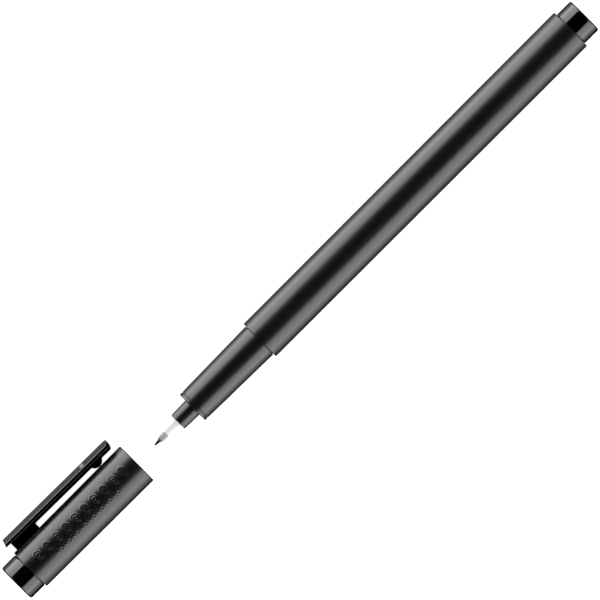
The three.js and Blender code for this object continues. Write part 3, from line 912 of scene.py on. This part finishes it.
def half_plan(x):
    """Half the clip's width at x, which follows a quarter ellipse at the free end."""
    tip, tip_half = CLIP_TIP
    return tip_half + (CLIP_HALF["side"] - tip_half) * rounding(x, CLIP_ENDS[0], tip)


def clip_bar():
    """The clip's roof-shaped bar as sections along it, in the clip's own x, y and z. Each
    section has corners at the flat, down the roof, at the edge between roof and side, and at the
    underside, for both sides. Towards the free end the half-width follows a quarter ellipse, and
    so do the top and the underside, which come together. The root is slanted: x grows with the
    depth below the top."""
    free, root = CLIP_ENDS
    top, edge, under, rib = (CLIP_HEIGHTS[k] for k in ("top", "edge", "under", "rib"))
    tip = CLIP_TIP[0]
    chin, chin_height = CLIP_CHIN
    fine_start, fine_end = GATE["stretch"]
    x = np.concatenate(
        [
            free + tip * (1 - np.cos(np.linspace(0, np.pi / 2, 22))),
            np.arange(free + tip + 0.1, fine_start, 0.4),
            np.arange(fine_start, fine_end, 0.04),
            np.arange(fine_end + 0.1, root - 0.3, 0.3),
            root - np.array([0.1, 0.04, 0.0]),
        ]
    )
    inset = np.concatenate([np.zeros(len(x) - 3), [0, 0.02, 0.06]])
    half = half_plan(x) - inset
    flat = np.minimum(half, CLIP_HALF["flat"])
    roof_drop = (top - edge) / (CLIP_HALF["side"] - CLIP_HALF["flat"])
    low = rib + chin_height * (1 - rounding(x, free, chin))
    low = np.maximum(low, under) + inset
    high = top - CLIP_BROW * (1 - rounding(x, free, CLIP_BROW)) - inset
    side_top = np.maximum(high - (half - flat) * roof_drop, low + 0.02)
    slope = np.concatenate([[0], np.linspace(0.15, 0.82, 24), [1]])[:, None]
    right = np.stack([flat + (half - flat) * slope, high + (side_top - high) * slope], -1)
    under_right = np.stack([half, low], -1)[None]
    mirror = np.array([-1.0, 1.0])
    corners = np.concatenate([right, under_right, under_right * mirror, right[[-1, 0]] * mirror])
    crown_round = bpy.context.scene.pen_sizes.crown_round / MM
    radii = np.full((len(corners), 1), 0.02)
    radii[[len(slope) - 1, -2]] = crown_round
    radii[[len(slope), len(slope) + 1]] = 0.5 * crown_round
    radii[[0, -1]] = crown_round
    outline = rounded(np.moveaxis(corners, 0, 1), radii)
    x = x[:, None] + 0 * outline[..., 0]
    y, z = outline[..., 0], outline[..., 1]

    # The gate mark: a shallow facet in the roof that leans towards the side.
    run = (y - CLIP_HALF["flat"]) / (CLIP_HALF["side"] - CLIP_HALF["flat"])
    half_length = GATE["half"] - GATE["taper"] * (run - 0.5)
    facet = band(x - GATE["x"], half_length, 0.16) * band(run - 0.5, 0.25, 0.08)
    dent = facet * GATE["depth"] * (run - 0.34)
    steep = np.hypot(1, roof_drop)
    y, z = y - dent * roof_drop / steep, z - dent / steep

    share = np.clip((x - SLANT_START) / (root - SLANT_START), 0, 1)
    x = x + CLIP_SLANT * share * (top - z) / (top - under)
    x, z = drop(x, z)
    return x, y, z


def clip_rib():
    """The stiffening rib, nub and foot: one outline in x and z, carried across the clip to both
    half-widths. The rib's underside follows the chin's quarter ellipse, the nub is a circle's
    lower part that meets it, and the foot ends just inside the cap's surface. The outline's
    upper side lies inside the bar."""
    free = CLIP_ENDS[0]
    under, rib = CLIP_HEIGHTS["under"], CLIP_HEIGHTS["rib"]
    chin, chin_height = CLIP_CHIN
    nub_x, nub_r = NUB
    foot_front, foot_rear = FOOT
    bend_start, foot_middle = 20.0, 29.0
    a = np.radians(np.linspace(42, 90, 9))
    chin_line = drop(free + chin - chin * np.cos(a), rib + chin_height * (1 - np.sin(a)))
    bend_x = np.arange(bend_start, foot_front - 0.3, 0.3)
    bend_line = drop(bend_x, rib + 0 * bend_x)
    level = drop(np.array([nub_x]), np.array([rib]))[1][0]
    centre = cap_radius(nub_x) + 0.01 + nub_r
    start = np.degrees(np.arcsin((centre - level) / nub_r))
    a = np.radians(np.linspace(180 + start, 360 - start, 25))
    web = drop(np.array([foot_front]), np.array([rib]))[1][0]
    base = np.sqrt(cap_radius(foot_middle) ** 2 - CLIP_HALF["rib"] ** 2) - 0.03
    fillet = (nub_r + 0.12) * np.cos(a[-1])
    outline = profile(
        np.stack(chin_line, 1),
        [(nub_x - fillet, level)],
        np.stack([nub_x + nub_r * np.cos(a), centre + nub_r * np.sin(a)], 1)[1:-1],
        [(nub_x + fillet, level)],
        np.stack(bend_line, 1),
        [(foot_front - 0.2, web), (foot_front - 0.06, web - 0.06), (foot_front, web - 0.2)],
        [(foot_front, base), (foot_rear, base), (foot_rear, under + 0.1)],
        np.stack(drop(bend_x[::-1], under + 0.2 + 0 * bend_x), 1),
        np.stack(drop(np.array([1.75]), np.array([under + 0.25])), 1),
    )
    half = np.minimum(CLIP_HALF["rib"], half_plan(outline[:, 0]) - 0.05)
    y = np.stack([half, -half])
    return outline[:, 0] + 0 * y, y, outline[:, 1] + 0 * y


class PEN_OT_clip(bpy.types.Operator):
    """Clip: a polished roof-shaped bar with its rib, nub and foot"""

    bl_idname = "pen.clip"
    bl_label = "Clip"

    def execute(self, context):
        bar = to_row(*clip_bar(), MOUTH_X)
        rows, columns = bar.shape[:2]
        rib = to_row(*clip_rib(), MOUTH_X)
        count = rib.shape[1]
        first = rows * columns
        faces = grid_faces(rows, columns)
        faces += [list(range(columns)), list(range(first - columns, first))]
        i = np.arange(count)
        beside = (i + 1) % count
        walls = np.stack([i, beside, beside + count, i + count], 1) + first
        faces += walls.tolist()
        faces += [list(range(first, first + count)), list(range(first + count, first + 2 * count))]
        points = np.concatenate([bar.reshape(-1, 3), rib.reshape(-1, 3)])
        clip = mesh_object("pocket_clip", points, faces, finishes["gloss"], None)
        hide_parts("clip_foot", "clip_arm")
        bend = [to_row(FLEX_AT + d, 0, CLIP_HEIGHTS["rib"], MOUTH_X) for d in (0.3, -3.0)]
        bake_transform(clip)
        return {"FINISHED"}


# ------------------------------------------------------------------ stage


class PEN_OT_studio(bpy.types.Operator):
    """Studio: a pale table, light that comes from two long soft boxes beside the camera, and the
    camera"""

    bl_idname = "pen.studio"
    bl_label = "Studio"

    def execute(self, context):
        studio = context.scene.pen_studio
        self.table(studio)
        self.light(context.scene, studio)
        self.camera(context.scene, studio)
        return {"FINISHED"}

    def table(self, studio):
        half = 8.0
        mesh = bpy.data.meshes.new("table_top")
        corners = [(-half, -half, 0), (half, -half, 0), (half, half, 0), (-half, half, 0)]
        mesh.from_pydata(corners, [], [(0, 1, 2, 3)])
        top = bpy.data.objects.new("table_top", mesh)
        bpy.context.scene.collection.objects.link(top)
        f = Finish("table_white", Roughness=0.9, Emission_Strength=studio.floor_glow)
        speck = f.noise(f.place(), 60.0)
        f.set(
            Base_Color=f.blend(
                speck, tinted(studio.floor_colour, 0.98), tinted(studio.floor_colour, 1.02)
            ),
            Emission_Color=(1, 1, 1, 1),
        )
        f.material.cycles.emission_sampling = "NONE"
        mesh.materials.append(f.material)
        top.visible_glossy = False

    def light(self, scene, studio):
        """The world's brightness depends mostly on the angle round the pen between a direction
        and the camera's: dark near 0, bright between the soft boxes' start and stop, dim where
        the wall fades, and dark behind. The clip's side has wider and brighter boxes and a
        dimmer wall, and towards the pen's ends all of it falls to a fifth."""
        world = bpy.data.worlds.new("studio")
        world.use_nodes = True
        world.cycles.sampling_method = "NONE"
        g = Graph(world.node_tree)
        direction = g.node("ShaderNodeTexCoord", output="Generated")
        towards, beside = g.dot(direction, ACROSS), g.dot(direction, OUTWARD)
        turn = g.node("ShaderNodeMath", {"operation": "ARCTAN2"}, {0: beside, 1: towards})
        clip_side = beside.step(-0.3, 0.3)
        angle = abs(turn) * (1.0 - clip_side * 0.12) * float(np.degrees(1))
        start, stop = angle.step(*BOXES_START), angle.step(*BOXES_STOP)
        rise = 0.8 + angle.step(*BOXES_RISE) * 0.25
        boxes = (start - stop) * (0.86 + clip_side * 0.28) * rise
        wall = stop - (angle * (1.0 + clip_side * 0.05)).step(*WALL_FADE)
        wall = wall * (1.1 - clip_side * 0.25)
        ends = 1.0 - abs(g.dot(direction, ALONG)).step(0.4, 0.8) * 0.8
        level = (boxes * studio.soft_boxes + wall * studio.fill) * ends
        seen = g.node("ShaderNodeLightPath", output="Is Camera Ray")
        background = world.node_tree.nodes["Background"].inputs
        g.feed(background["Color"], (1, 1, 1, 1))
        g.feed(background["Strength"], level + seen * (1.0 - level))
        scene.world = world
        scene.view_settings.view_transform = "Standard"

    def camera(self, scene, studio):
        """Looks along the clip's hinge, with the pen on the picture's diagonal."""
        data = bpy.data.cameras.new("camera")
        data.lens = studio.lens
        view = bpy.data.objects.new("camera", data)
        scene.collection.objects.link(view)
        right = Vector(-(ALONG + OUTWARD) / np.sqrt(2))
        up = Vector((OUTWARD - ALONG) / np.sqrt(2))
        back = Vector(ACROSS)
        aim = Vector(to_row(-studio.aim / MM, 0, 0, SHOULDER_X))
        distance = studio.field * data.lens / data.sensor_width
        view.matrix_world = Matrix.Translation(aim + back * distance) @ Matrix(
            (right, up, back)
        ).transposed().to_4x4()
        data.clip_start, data.clip_end = 0.01, 20.0
        scene.camera = view


class PEN_PT_panel(bpy.types.Panel):
    """Buttons and values in the 3D view's sidebar"""

    bl_idname = "PEN_PT_panel"
    bl_label = "Drawing pen"
    bl_space_type = "VIEW_3D"
    bl_region_type = "UI"
    bl_category = "Pen"

    def draw(self, context):
        for step in STEPS:
            self.layout.operator(step.bl_idname)
        for group in (context.scene.pen_sizes, context.scene.pen_colours, context.scene.pen_studio):
            box = self.layout.box()
            for key in group.bl_rna.properties.keys():
                if key not in ("rna_type", "name"):
                    box.prop(group, key)


STEPS = (
    PEN_OT_studio,
    PEN_OT_barrel,
    PEN_OT_section,
    PEN_OT_tip,
    PEN_OT_rear_plug,
    PEN_OT_ink_store,
    PEN_OT_cap_tube,
    PEN_OT_cap_closure,
    PEN_OT_clip,
)
GROUPS = {"pen_sizes": PenSizes, "pen_colours": PenColours, "pen_studio": PenStudio}
finishes = {}


def register():
    for name, group in GROUPS.items():
        bpy.utils.register_class(group)
        setattr(bpy.types.Scene, name, PointerProperty(type=group))
    for one in (*STEPS, PEN_PT_panel):
        bpy.utils.register_class(one)


def unregister():
    for one in (PEN_PT_panel, *reversed(STEPS)):
        bpy.utils.unregister_class(one)
    for name, group in GROUPS.items():
        delattr(bpy.types.Scene, name)
        bpy.utils.unregister_class(group)


def main():
    register()
    finishes.update(
        satin=satin_anthracite(),
        gloss=gloss_black(),
        white=white_plastic(),
        nib=translucent_nib(),
        ink=black_ink(),
        soft=soft_natural(),
    )
    for step in STEPS:
        group, name = step.bl_idname.split(".")
        getattr(getattr(bpy.ops, group), name)()


if __name__ == "__main__":
    main()
